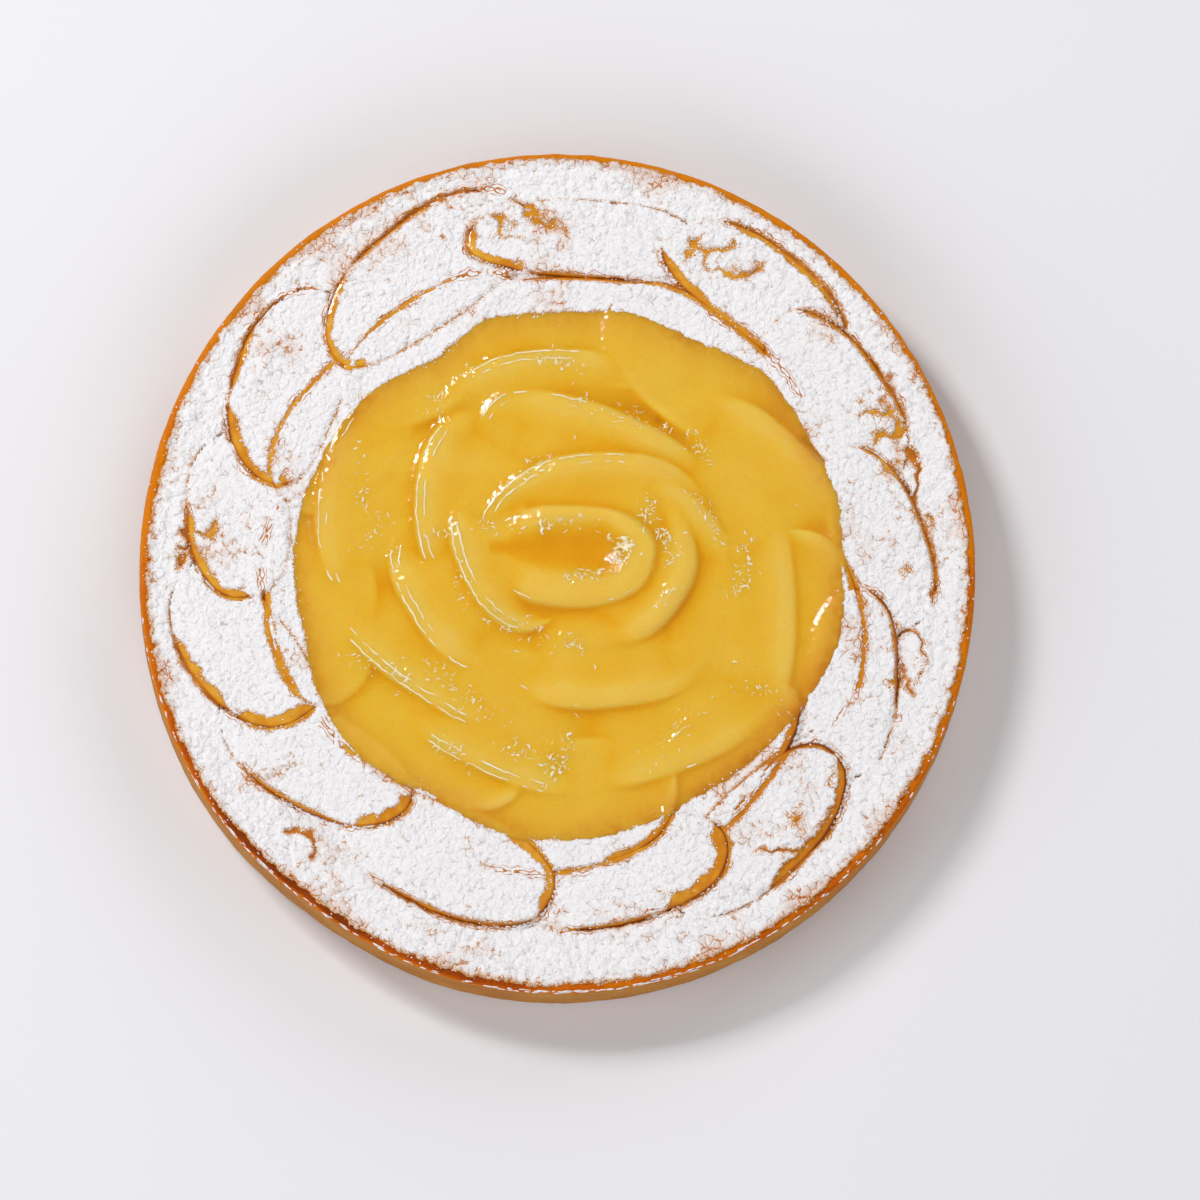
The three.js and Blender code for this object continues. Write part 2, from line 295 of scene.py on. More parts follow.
def hollow_floor(x, y):
    """The trough in the middle of the rose, as a height that rises away from its floor."""
    (ax, ay), (bx, by) = HOLLOW_START, HOLLOW_END
    length = math.hypot(bx - ax, by - ay)
    along = np.clip(((x - ax) * (bx - ax) + (y - ay) * (by - ay)) / length**2, 0, 1)
    away = np.hypot(x - ax - along * (bx - ax), y - ay - along * (by - ay))
    width = HOLLOW_WIDTHS[0] + (HOLLOW_WIDTHS[1] - HOLLOW_WIDTHS[0]) * smooth(along, 0, 0.5)
    bank = HOLLOW_BANK * smooth(away, 0, width + 2 * (1 - along))
    return HOLLOW_Z + HOLLOW_RISE * (1 - along) + bank + 0.1 * away + 0.12 * soft_noise(x, y, 5, 71)


def hollowed(height, x, y):
    """The height, but no higher than the trough in the middle of the rose, with a rounded brink."""
    return -BRINK * np.logaddexp(-height / BRINK, -hollow_floor(x, y) / BRINK)


def joined(layers, reach):
    """The highest of the layers, rounded where two of them cross, as by a fillet about reach across."""
    ranked = np.partition(layers, -2, axis=0)
    near = np.maximum(reach - (ranked[-1] - ranked[-2]), 0)
    return ranked[-1] + near * near / (4 * reach)


def slice_top(tier, piece, seed, x, y):
    """Height of the top of a slice, depth inside its outline, angle round it and height of its plane.

    The edge is rounded, the rim stands a little proud and the face sinks behind it and leans."""
    depth, turn, along, inward = outline_place(piece, seed, x, y)
    front_tip, back_tip = tier["tips"]
    sink = front_tip * smooth(along, TIP_START, 1) + back_tip * smooth(-along, TIP_START, 1)
    plane = tier["z"] + tier["lift"] * np.clip(along, -1, 1) - sink
    toward_tip = smooth(np.abs(along), 0.2, 0.9)
    drop = tier["drop"] * (1 - 0.8 * toward_tip)
    bevel = min(tier["bevel"], piece[5] * 0.8 + 0.6)
    lip = tier["lip"] * hump(depth - bevel, 1.4)
    dish = tier["dish"] * smooth(inward, 0.6 * bevel, tier["reach"])
    dish = dish + tier["fold"] * toward_tip * smooth(inward, bevel, tier["reach"])
    faint = bumps(x, y, [(0.2, 11, seed + 40), (0.05, 4, seed + 90)]) * smooth(depth, 0, 3)
    top = plane - drop * rounded_edge(depth, bevel) + lip - dish + faint
    low = plane - drop - dish + 1.8 * depth
    if tier["name"] == "heart":
        low = low - 20  # only its face shows, at the bottom of the hollow, and no flank beside it
    return np.where(depth > 0, top, low), depth, turn, plane


def sugar_edge(angle):
    """Radius of the sugar's inner edge in a direction given in degrees."""
    return np.interp(angle, np.arange(0, 361, SUGAR_INNER_STEP), SUGAR_INNER + SUGAR_INNER[:1])


def dome_top(radius):
    """Top of the almond cream under the slices."""
    part = np.minimum(radius / DOME_RADIUS, 1)
    return DOME_EDGE_Z + DOME_RISE * (1 - part * part)


def cream_top(x, y):
    """Top of the almond cream: a dome under the slices and a puffed border that rises to the crust."""
    radius = np.hypot(x, y)
    border = BORDER_Z + 0.7 * smooth(radius, 129, 136)
    risen = dome_top(radius) + CREAM_RISE * smooth(radius, 94, 100)
    height = risen + (border - risen) * smooth(radius, 116, 125)
    return height + bumps(x, y, CREAM_PUFFS) * smooth(radius, 112, 122) * smooth(137.5 - radius, 0, 4)


def rim_wave(angle):
    """The top of the wall isn't level: its height over the mean, in a direction given in degrees."""
    return 0.25 * soft_noise(angle * 2.4, 0 * angle, 11, 8) - 0.15


def crust_top(x, y):
    """Top of the crust's wall, rounded at its outer edge and low everywhere else."""
    angle = bearing(x, y)
    outside = rim_radius(angle) - np.hypot(x, y)
    top = CRUST_HEIGHT + rim_wave(angle) - SHOULDER * rounded_edge(outside, SHOULDER)
    return np.where((outside > 0) & (outside < WALL), top, 0)


def heights(x, y):
    """Heights of every piece's top: almond cream, crust, then the slices."""
    layers = [cream_top(x, y), crust_top(x, y)]
    for seed, (tier, piece, _) in enumerate(SLICES):
        layers.append(slice_top(tier, piece, seed, x, y)[0])
    return np.array(layers)


def wrinkled(x, y):
    """How wrinkled the glaze is, from 0 to 1."""
    total = LEAST_WRINKLED + 0 * x
    for middle_x, middle_y, reach, amount in WRINKLES_AND_GLINTS:
        total = total + amount * np.exp(-((x - middle_x) ** 2 + (y - middle_y) ** 2) / (2 * reach**2))
    return np.clip(total, 0, 1)


# ---- Materials ----
def colour(hex_code):
    """A linear colour from an sRGB hex code."""
    parts = [int(hex_code[i : i + 2], 16) / 255 for i in (0, 2, 4)]
    return [p / 12.92 if p <= 0.04045 else ((p + 0.055) / 1.055) ** 2.4 for p in parts] + [1.0]


def add(tree, kind, sockets=None, stops=None, **settings):
    """Adds a node, sets it up and fills its sockets with values, with other nodes' outputs, or with other
    nodes, each of which stands for its first output."""
    node = tree.nodes.new(kind)
    for name, value in settings.items():
        setattr(node, name, value)
    for place, shade in stops or []:
        ends = node.color_ramp.elements
        end = ends[0] if place == stops[0][0] else ends[-1] if place == stops[-1][0] else ends.new(place)
        end.position = place
        end.color = colour(shade)
    for name, value in (sockets or {}).items():
        if isinstance(value, bpy.types.Node):
            value = value.outputs[0]
        if isinstance(value, bpy.types.NodeSocket):
            tree.links.new(value, node.inputs[name])
        else:
            node.inputs[name].default_value = value
    return node


def material(name):
    """A new material without nodes, and its tree."""
    made = bpy.data.materials.new(name)
    made.use_nodes = True
    made.node_tree.nodes.clear()
    return made, made.node_tree


def per_metre(size):
    """The scale of a texture, in metres, whose pattern is size millimetres across."""
    return 1 / (size * MM)


def pear_flesh(name, glow, spread):
    """Pear flesh poached in syrup and glazed: translucent, so light glows through it, paler on the proud rims
    and saturated gold in the folds and the hollow, partly where syrup gathers and partly as painted shade,
    orange-brown where the oven caught it, wet and glossy on top.

    glow is the share of the light that goes in, and spread how many millimetres it travels."""
    made, tree = material(name)
    place = add(tree, "ShaderNodeTexCoord").outputs["Object"]
    deep, brown, wrinkles = [
        add(tree, "ShaderNodeAttribute", attribute_name=measure).outputs["Fac"]
        for measure in ("deep", "brown", "wrinkled")
    ]
    # Cloudy patches about 14 mm across and the fine grain of pear flesh, under 1 mm.
    cloud = add(tree, "ShaderNodeTexNoise", {"Vector": place, "Scale": per_metre(14), "Detail": 3.0})
    grain = add(tree, "ShaderNodeTexNoise", {"Vector": place, "Scale": per_metre(0.9), "Detail": 2.0})
    # deep is gathered syrup and painted shade in the folds and the hollow: it pushes the gold towards orange.
    patchy = add(tree, "ShaderNodeMath", {0: cloud, 1: 0.3, 2: deep}, operation="MULTIPLY_ADD")
    gold = [(0.0, "E9C468"), (0.25, "E7BA4A"), (0.5, "E5B234"), (0.75, "E4A518"), (1.0, "E09A0A")]
    flesh = add(tree, "ShaderNodeValToRGB", {"Fac": patchy}, stops=gold)
    pale = {0: grain, 6: flesh, 7: colour("E8D39A")}
    speck = add(tree, "ShaderNodeMix", pale, data_type="RGBA", blend_type="SOFT_LIGHT")
    oven = [(0.0, "E6AA40"), (0.35, "DC9424"), (0.6, "CE7C14"), (0.8, "B05E0E"), (1.0, "7E3A08")]
    baked = add(tree, "ShaderNodeValToRGB", {"Fac": brown}, stops=oven)
    caught = add(tree, "ShaderNodeMath", {0: brown, 1: 2.0}, operation="MULTIPLY")
    both = {0: caught, 6: speck.outputs[2], 7: baked}
    mixed = add(tree, "ShaderNodeMix", both, data_type="RGBA", clamp_factor=True)
    # Ripples of glaze 2.2 mm across, and wrinkles 2 mm across where it dried first.
    ripple = add(tree, "ShaderNodeTexNoise", {"Vector": place, "Scale": per_metre(2.2), "Detail": 2.0})
    crumpled = {"Vector": place, "Scale": per_metre(2), "Detail": 0.5, "Distortion": 0.9}
    wrinkle = add(tree, "ShaderNodeTexNoise", crumpled)
    folded = add(tree, "ShaderNodeMath", {0: wrinkle, 1: wrinkles}, operation="MULTIPLY")
    relief = add(tree, "ShaderNodeMath", {0: folded, 1: 1.6, 2: ripple}, operation="MULTIPLY_ADD")
    bump = add(tree, "ShaderNodeBump", {"Height": relief, "Strength": 0.5, "Distance": 0.6 * MM})
    shader = add(
        tree,
        "ShaderNodeBsdfPrincipled",
        {
            "Base Color": mixed.outputs[2],
            "Roughness": 0.08,
            "IOR": 1.45,
            "Specular IOR Level": 0.8,
            "Subsurface Weight": glow,
            "Subsurface Radius": (1.0, 0.45, 0.09),
            "Subsurface Scale": spread * MM,
            "Normal": bump,
        },
    )
    add(tree, "ShaderNodeOutputMaterial", {"Surface": shader})
    return made


def painted_syrup_highlights():
    """Painted highlights of dried syrup: threads and flecks coloured cream to stand for glints on the clear
    gold glaze, with a real hard bright shine and a crinkled skin."""
    made, tree = material("syrup painted as highlights")
    place = add(tree, "ShaderNodeTexCoord").outputs["Object"]
    cloud = add(tree, "ShaderNodeTexNoise", {"Vector": place, "Scale": per_metre(7), "Detail": 2.0})
    glint_cream = [(0.3, "F2DC9E"), (0.5, "FAEBBC"), (0.7, "FFF6DA")]
    cream = add(tree, "ShaderNodeValToRGB", {"Fac": cloud}, stops=glint_cream)
    crinkle = add(tree, "ShaderNodeTexNoise", {"Vector": place, "Scale": per_metre(0.8), "Detail": 1.0})
    bump = add(tree, "ShaderNodeBump", {"Height": crinkle, "Strength": 0.5, "Distance": 0.3 * MM})
    glassy = {"Base Color": cream, "Roughness": 0.06, "IOR": 1.5, "Specular IOR Level": 0.8, "Normal": bump}
    shader = add(tree, "ShaderNodeBsdfPrincipled", glassy)
    add(tree, "ShaderNodeOutputMaterial", {"Surface": shader})
    return made


def icing_sugar():
    """Sieved icing sugar: bright, soft and matt, in loose heaps. Short hooks and curls mark the creases
    between them, grey as painted shade and brown where the toasted surface shows through, more of them where
    the sugar is thin; the toasted surface also shows in hair cracks along the slices, and the layer frays
    into single grains at its edges."""
    made, tree = material("icing sugar")
    place = add(tree, "ShaderNodeTexCoord").outputs["Object"]
    thin, seam, margin = [
        add(tree, "ShaderNodeAttribute", attribute_name=measure).outputs["Fac"]
        for measure in ("thin", "seam", "margin")
    ]
    # Heaps of powder 3 and 1.4 mm across with creases between, and rough at 0.6 mm; real grains are finer.
    bend = add(tree, "ShaderNodeTexNoise", {"Vector": place, "Scale": per_metre(1.5), "Detail": 1.0})
    push = add(
        tree,
        "ShaderNodeVectorMath",
        {0: bend.outputs["Color"], 1: (1.4 * MM, 1.4 * MM, 0), 2: place},
        operation="MULTIPLY_ADD",
    )
    heap_tops, creases = [], []
    for size, line_start, line_end in ((3.0, 0.02, 0.07), (1.4, 0.04, 0.13)):
        cells = {"Vector": push, "Scale": per_metre(size)}
        heap = add(tree, "ShaderNodeTexVoronoi", cells, feature="DISTANCE_TO_EDGE")
        rise = {"Value": heap, "From Min": 0.0, "From Max": 0.42}
        heap_tops.append(add(tree, "ShaderNodeMapRange", rise, interpolation_type="SMOOTHSTEP"))
        line = {"Value": heap, "From Min": line_start, "From Max": line_end, "To Min": 1.0, "To Max": 0.0}
        creases.append(add(tree, "ShaderNodeMapRange", line))
    powder = add(tree, "ShaderNodeTexNoise", {"Vector": place, "Scale": per_metre(0.6), "Detail": 2.0})
    soft = add(tree, "ShaderNodeMath", {0: powder, 1: 0.5, 2: heap_tops[0]}, operation="MULTIPLY_ADD")
    relief = add(tree, "ShaderNodeMath", {0: heap_tops[1], 1: 0.5, 2: soft}, operation="MULTIPLY_ADD")
    bump = add(tree, "ShaderNodeBump", {"Height": relief, "Strength": 0.8, "Distance": 0.5 * MM})
    # Hooks and curls: the creases show only here and there, in painted grey shade where the sugar is thicker
    # and toasted brown where it is thin.
    where = add(tree, "ShaderNodeTexNoise", {"Vector": place, "Scale": per_metre(2.6), "Detail": 2.0})
    often = add(tree, "ShaderNodeMath", {0: thin, 1: 0.3, 2: where}, operation="MULTIPLY_ADD")
    shown = add(tree, "ShaderNodeMapRange", {"Value": often, "From Min": 0.62, "From Max": 0.76})
    curls = add(tree, "ShaderNodeMath", {0: creases[1], 1: 0.3, 2: creases[0]}, operation="MULTIPLY_ADD")
    marks = add(tree, "ShaderNodeMath", {0: curls, 1: shown}, operation="MULTIPLY")
    tint = add(tree, "ShaderNodeMath", {0: thin, 1: 0.6, 2: bend}, operation="MULTIPLY_ADD")
    # The grey at the low end is painted shade in the creases, and the browns are the toasted surface.
    oven = [(0.5, "CCC4C4"), (0.75, "C8A888"), (1.0, "C07028")]
    toast_and_crease_shade = add(tree, "ShaderNodeValToRGB", {"Fac": tint}, stops=oven)
    # Hair cracks wander along the slices' edges, here and there in two strands, and break off.
    wander = add(tree, "ShaderNodeTexNoise", {"Vector": place, "Scale": per_metre(3.5), "Detail": 2.0})
    drift = add(tree, "ShaderNodeMath", {0: wander, 1: 4.0, 2: seam}, operation="MULTIPLY_ADD")
    broken = add(tree, "ShaderNodeTexNoise", {"Vector": place, "Scale": per_metre(9), "Detail": 2.0})
    strands = []
    for centre, half_width, unbroken in ((2.35, 0.14, 0.44), (3.5, 0.09, 0.5)):
        off = add(tree, "ShaderNodeMath", {0: drift, 1: centre}, operation="SUBTRACT")
        away = add(tree, "ShaderNodeMath", {0: off}, operation="ABSOLUTE")
        fade = {"Value": away, "From Min": half_width, "From Max": 2 * half_width}
        line = add(tree, "ShaderNodeMapRange", {**fade, "To Min": 1.0, "To Max": 0.0})
        kept = {"Value": broken, "From Min": unbroken, "From Max": unbroken + 0.06}
        whole = add(tree, "ShaderNodeMapRange", kept)
        strands.append(add(tree, "ShaderNodeMath", {0: line, 1: whole}, operation="MULTIPLY"))
    cracks = add(tree, "ShaderNodeMath", {0: strands[0], 1: strands[1]}, operation="MAXIMUM")
    # The frayed edge: grains 0.5 mm across, fewer and fewer towards the bare pear.
    grains = add(tree, "ShaderNodeTexNoise", {"Vector": place, "Scale": per_metre(0.5), "Detail": 1.0})
    level = add(tree, "ShaderNodeMath", {0: margin, 1: -0.24, 2: grains}, operation="MULTIPLY_ADD")
    frayed = add(tree, "ShaderNodeMapRange", {"Value": level, "From Min": 0.38, "From Max": 0.46})
    # Where the layer is very thin the toasted surface also shows through it evenly.
    veil = add(tree, "ShaderNodeMapRange", {"Value": thin, "From Min": 0.45, "From Max": 1.2, "To Max": 0.6})
    shade = colour("F5F2F3")
    for share, under in (
        (veil, colour("DEB08A")), (marks, toast_and_crease_shade), (cracks, colour("C47420")), (frayed, colour("CE8C2C"))
    ):
        shade = add(tree, "ShaderNodeMix", {0: share, 6: shade, 7: under}, data_type="RGBA").outputs[2]
    shader = add(
        tree,
        "ShaderNodeBsdfPrincipled",
        {
            "Base Color": shade,
            "Roughness": 0.95,
            "Specular IOR Level": 0.2,
            "Subsurface Weight": 0.1,
            "Subsurface Radius": (1.2, 1.1, 1.0),
            "Subsurface Scale": 0.4 * MM,
            "Normal": bump,
        },
    )
    add(tree, "ShaderNodeOutputMaterial", {"Surface": shader})
    return made


def baked_shortcrust():
    """Baked shortcrust: matt and sandy, tan on the side, orange and then deep brown along the rim, which is
    darker towards the front as painted shade.
    """
    made, tree = material("baked shortcrust pastry")
    place = add(tree, "ShaderNodeTexCoord").outputs["Object"]
    caught = add(tree, "ShaderNodeAttribute", attribute_name="caught").outputs["Fac"]
    # Patches 16 mm across from uneven heat, sandy crumb under 1 mm, and pores 2.6 mm apart.
    patches = add(tree, "ShaderNodeTexNoise", {"Vector": place, "Scale": per_metre(16), "Detail": 5.0})
    sand = add(tree, "ShaderNodeTexNoise", {"Vector": place, "Scale": per_metre(0.9), "Detail": 3.0})
    shift = add(tree, "ShaderNodeMath", {0: patches, 1: 0.3, 2: caught}, operation="MULTIPLY_ADD")
    finer = add(tree, "ShaderNodeMath", {0: sand, 1: 0.2, 2: shift}, operation="MULTIPLY_ADD")
    oven = [(0.14, "CC9640"), (0.24, "BA7A24"), (0.34, "AC6812"), (0.45, "C4740C"), (0.6, "DA7E00")]
    oven += [(0.8, "BC5200"), (1.0, "7E3200")]
    bake = add(tree, "ShaderNodeValToRGB", {"Fac": finer}, stops=oven)
    pore = add(tree, "ShaderNodeTexVoronoi", {"Vector": place, "Scale": per_metre(2.6)})
    pits = add(tree, "ShaderNodeMapRange", {"Value": pore, "From Min": 0.05, "From Max": 0.3})
    relief = add(tree, "ShaderNodeMath", {0: sand, 1: 0.6, 2: pits}, operation="MULTIPLY_ADD")
    bump = add(tree, "ShaderNodeBump", {"Height": relief, "Strength": 0.6, "Distance": 0.5 * MM})
    shader = add(
        tree,
        "ShaderNodeBsdfPrincipled",
        {
            "Base Color": bake,
            "Roughness": 0.62,
            "Specular IOR Level": 0.18,
            "Subsurface Weight": 0.05,
            "Subsurface Radius": (2 * MM, 1 * MM, 0.4 * MM),
            "Subsurface Scale": 0.6,
            "Normal": bump,
        },
    )
    add(tree, "ShaderNodeOutputMaterial", {"Surface": shader})
    return made


def baked_almond_cream():
    """Baked almond cream: a browned, slightly sticky top that shows in the cracks between the slices."""
    made, tree = material("baked almond cream")
    place = add(tree, "ShaderNodeTexCoord").outputs["Object"]
    patches = add(tree, "ShaderNodeTexNoise", {"Vector": place, "Scale": per_metre(6), "Detail": 6.0})
    oven = [(0.3, "944C10"), (0.5, "BC6A14"), (0.7, "DC8C24")]
    bake = add(tree, "ShaderNodeValToRGB", {"Fac": patches}, stops=oven)
    bump = add(tree, "ShaderNodeBump", {"Height": patches, "Strength": 0.5, "Distance": 0.8 * MM})
    sticky = {"Base Color": bake, "Roughness": 0.45, "IOR": 1.42, "Normal": bump}
    shader = add(tree, "ShaderNodeBsdfPrincipled", sticky)
    add(tree, "ShaderNodeOutputMaterial", {"Surface": shader})
    return made


def matt_paper():
    """Matt white paper under the tart: plain and without shine, so that it shows only light and shadow."""
    made, tree = material("matt white paper")
    shader = add(tree, "ShaderNodeBsdfPrincipled", {"Base Color": colour("EAE9EC"), "Roughness": 0.9})
    add(tree, "ShaderNodeOutputMaterial", {"Surface": shader})
    return made


# ---- Meshes ----
def mesh_piece(name, points, faces, look, slot=None, values=None, smooth_faces=True):
    """A piece from points in millimetres. values holds one number a point for the material to read."""
    mesh = bpy.data.meshes.new(name)
    mesh.from_pydata((np.asarray(points) * MM).tolist(), [], faces)
    mesh.validate()
    if smooth_faces:
        mesh.shade_smooth()
    for key, numbers in (values or {}).items():
        layer = mesh.attributes.new(key, "FLOAT", "POINT")
        layer.data.foreach_set("value", np.asarray(numbers, dtype=np.float32))
    piece = bpy.data.objects.new(name, mesh)
    bpy.context.scene.collection.objects.link(piece)
    mesh.materials.append(look)
    if slot:
        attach(piece, "root")
    return piece


def closed_faces(rings, around):
    """Faces of a body made of rings of points, listed from the middle of the top out and down."""
    faces = [tuple(range(around))]
    for r in range(rings - 1):
        for a in range(around):
            b = (a + 1) % around
            low = r * around
            faces.append((low + a, low + around + a, low + around + b, low + b))
    faces.append(tuple(range(rings * around - 1, (rings - 1) * around - 1, -1)))
    return faces


def kept_grid(x, y, z, keep, wrap):
    """The quads of a grid of points whose corners include one to keep, without the unused points, and which
    points are used. Rows run outwards and columns anticlockwise if the grid wraps round, or along X and Y."""
    corner = np.arange(x.size).reshape(x.shape)
    if wrap:
        corner = np.concatenate([corner, corner[:, :1]], axis=1)
    quads = np.stack([corner[:-1, :-1], corner[1:, :-1], corner[1:, 1:], corner[:-1, 1:]], axis=-1)
    quads = quads.reshape(-1, 4)
    quads = quads[keep.ravel()[quads].any(axis=1)]
    used = np.zeros(x.size, bool)
    used[quads.ravel()] = True
    number = np.cumsum(used) - 1
    points = np.stack([x.ravel(), y.ravel(), z.ravel()], axis=1)[used]
    return points, number[quads].tolist(), used


def closed_below(points, faces, bottom):
    """Closes a patch of quads with a wall down from its outline and a flat underside at the height bottom."""
    quads = np.array(faces)
    starts, ends = quads.ravel(), np.roll(quads, -1, axis=1).ravel()
    count = len(points)
    inner = np.isin(starts * count + ends, ends * count + starts)
    following = dict(zip(starts[~inner].tolist(), ends[~inner].tolist()))
    loop = [next(iter(following))]
    while following[loop[-1]] != loop[0]:
        loop.append(following[loop[-1]])
    under = points[loop].copy()
    under[:, 2] = bottom
    walls = []
    for k in range(len(loop)):
        after = (k + 1) % len(loop)
        walls.append((loop[k], count + k, count + after, loop[after]))
    underside = tuple(range(count + len(loop) - 1, count - 1, -1))
    return np.concatenate([points, under]), faces + walls + [underside]


def slice_points(piece, seed, around, insets, shares):
    """Rings of points from the middle of a slice to its outline, as x and y, and how many rings there are."""
    middle, front, out = slice_axes(piece)
    length, belly, back = piece[3:]
    turn = np.linspace(0, 2 * math.pi, around, endpoint=False)
    power = 2 / ROUNDNESS
    factor = wobble(turn, seed)
    along = np.sign(np.cos(turn)) * np.abs(np.cos(turn)) ** power * factor
    across = np.sign(np.sin(turn)) * np.abs(np.sin(turn)) ** power * factor
    half_width = np.where(across >= 0, belly, back)
    centre = (belly - back) / 2
    rings = []
    for inset in insets:
        inset = min(inset, back * 0.7)
        rings.append((along * (length / 2 - inset), across * (half_width - inset)))
    last = rings[-1]
    for share in shares:
        rings.append((last[0] * share, centre + (last[1] - centre) * share))
    rings.reverse()
    u = np.concatenate([r[0] for r in rings])
    v = np.concatenate([r[1] for r in rings])
    x = middle[0] + u * front[0] + v * out[0]
    y = middle[1] + u * front[1] + v * out[1]
    return x, y, len(rings)


def strung(runs):
    """Six-sided tubes in one mesh. Each run holds the x, y, z and radius of the points along a tube."""
    sides = 6
    points, faces = [], []
    count = 0
    for x, y, z, radius in runs:
        along = np.stack([np.gradient(x), np.gradient(y)], axis=1)
        along /= np.linalg.norm(along, axis=1, keepdims=True) + 1e-9
        rings = []
        for turn in np.arange(sides) * 2 * math.pi / sides:
            across, up = radius * math.cos(turn), radius * math.sin(turn)
            rings.append(np.stack([x - along[:, 1] * across, y + along[:, 0] * across, z + up], axis=1))
        points.append(np.stack(rings, axis=1).reshape(-1, 3))
        faces.append(tuple(range(count + sides - 1, count - 1, -1)))
        for low in range(count, count + (len(x) - 1) * sides, sides):
            for a in range(sides):
                b = (a + 1) % sides
                faces.append((low + a, low + b, low + sides + b, low + sides + a))
        count += len(x) * sides
        faces.append(tuple(range(count - sides, count)))
    return np.concatenate(points), faces


LUMP_RISE = 0.75  # share of its radius that a lump rises


def sugar_lumps(name, places, radii, stretch, look, slot):
    """Rounded lumps of sugar in one piece: a place, a radius and a stretch along the rim for each. A lump
    that isn't stretched lies any way round."""
    ring = [(math.cos(t * math.pi / 3), math.sin(t * math.pi / 3)) for t in range(6)]
    shape = [(0, 0, 1)]
    shape += [(0.8 * c, 0.8 * s, 0.6) for c, s in ring]
    shape += [(0.866 * c - 0.5 * s, 0.5 * c + 0.866 * s, -0.1) for c, s in ring]
    shape += [(0.5 * c, 0.5 * s, -0.85) for c, s in ring]
    shape = np.array(shape)
    cell = [(0, 1 + a, 1 + (a + 1) % 6) for a in range(6)]
    for low in (1, 7):
        for a in range(6):
            b = (a + 1) % 6
            p, q, r, s = low + a, low + b, low + 6 + a, low + 6 + b
            cell += [(p, r, q), (q, r, s)] if low == 1 else [(p, r, s), (p, s, q)]
    cell.append(tuple(range(18, 12, -1)))
    rng = np.random.default_rng(77)
    points, faces = [], []
    for place, radius, longer in zip(places, radii, stretch):
        rough = shape * rng.uniform(0.75, 1.25, (len(shape), 1)) * radius
        spin = rng.uniform(0, 2 * math.pi) if longer < 1.3 else math.atan2(place[1], place[0]) + math.pi / 2
        u, v = rough[:, 0] * longer, rough[:, 1]
        x = u * math.cos(spin) - v * math.sin(spin)
        y = u * math.sin(spin) + v * math.cos(spin)
        first = len(points) * len(shape)
        points.append(np.stack([x, y, rough[:, 2] * LUMP_RISE], axis=1) + place)
        faces += [tuple(first + corner for corner in face) for face in cell]
    points = np.concatenate(points)
    plain = np.ones(len(points))
    values = {"thin": 0.1 * plain, "seam": NO_SEAM * plain, "margin": WELL_INSIDE * plain}
    return mesh_piece(name, points, faces, look, slot, values)


# ---- Maps of the bare surface on a square grid ----
CELL = 0.5
HALF = 144
GLAZE_FILLET = 2.8
GLAZE_FILM = 0.12


def blurred(field, reach):
    """The field averaged over about reach cells, three times for a smooth fall-off."""
    out = field
    for _ in range(3):
        for axis in (0, 1):
            total = np.cumsum(out, axis=axis)
            out = (np.roll(total, -reach, axis) - np.roll(total, reach + 1, axis)) / (2 * reach + 1)
    return out


def glaze_surface(layers, x, y):
    """Top of the syrup glaze on a square grid: it softens the folds and thins out over the edges."""
    soft = blurred(hollowed(joined(layers, GLAZE_FILLET), x, y), 1)
    return np.maximum(soft, hollowed(layers.max(axis=0), x, y)) + GLAZE_FILM


def lookup(field, x, y):
    """The value of a map at points, between its cells."""
    u, v = np.clip((x + HALF) / CELL, 0, len(AXIS) - 2), np.clip((y + HALF) / CELL, 0, len(AXIS) - 2)
    i, j = np.floor(u).astype(int), np.floor(v).astype(int)
    return between_corners(lambda right, up: field[i + right, j + up], u - i, v - j)


AXIS = np.arange(-HALF, HALF + CELL, CELL)
MAP_X, MAP_Y = np.meshgrid(AXIS, AXIS, indexing="ij")
MAP_LAYERS = heights(MAP_X, MAP_Y)
MAP_Z = hollowed(MAP_LAYERS.max(axis=0), MAP_X, MAP_Y)
GLAZE_Z = glaze_surface(MAP_LAYERS, MAP_X, MAP_Y)
# How far the surface lies below its surroundings, near and wide: syrup gathers and deepens the colour there,
# and the same darkening also stands in as painted shade in these recesses.
HOLLOW = blurred(MAP_Z, 5) - MAP_Z
WIDE_HOLLOW = blurred(MAP_Z, 13) - MAP_Z


def syrup_and_painted_shade(x, y):
    """Gathered syrup and painted shade in the recesses: 0 on proud rims, 1 in the deepest folds and in the
    hollow.
    """
    trough = 1 - smooth(hollow_floor(x, y), HOLLOW_Z, HOLLOW_Z + 3.4)
    folds = 0.3 * lookup(HOLLOW, x, y) + 0.3 * lookup(WIDE_HOLLOW, x, y)
    return np.clip(0.24 + folds * (1 - trough) + 0.62 * trough, 0, 1)


def browning(x, y):
    """How far the oven has browned the pear: even under the sugar, fading out inside its edge, most at the
    front right."""
    angle = bearing(x, y)
    brown = 0.42 + bumps(x, y, BAKED_UNEVENLY) + 0.2 * hump(angle - 322, 28)
    return brown * smooth(np.hypot(x, y) - sugar_edge(angle), -13, 5)


# ---- Pear slices, each with its whole body down to the cream ----
glazed = pear_flesh("glazed poached pear", glow=0.8, spread=8)
baked = pear_flesh("baked pear", glow=0.15, spread=2)
AROUND = 120
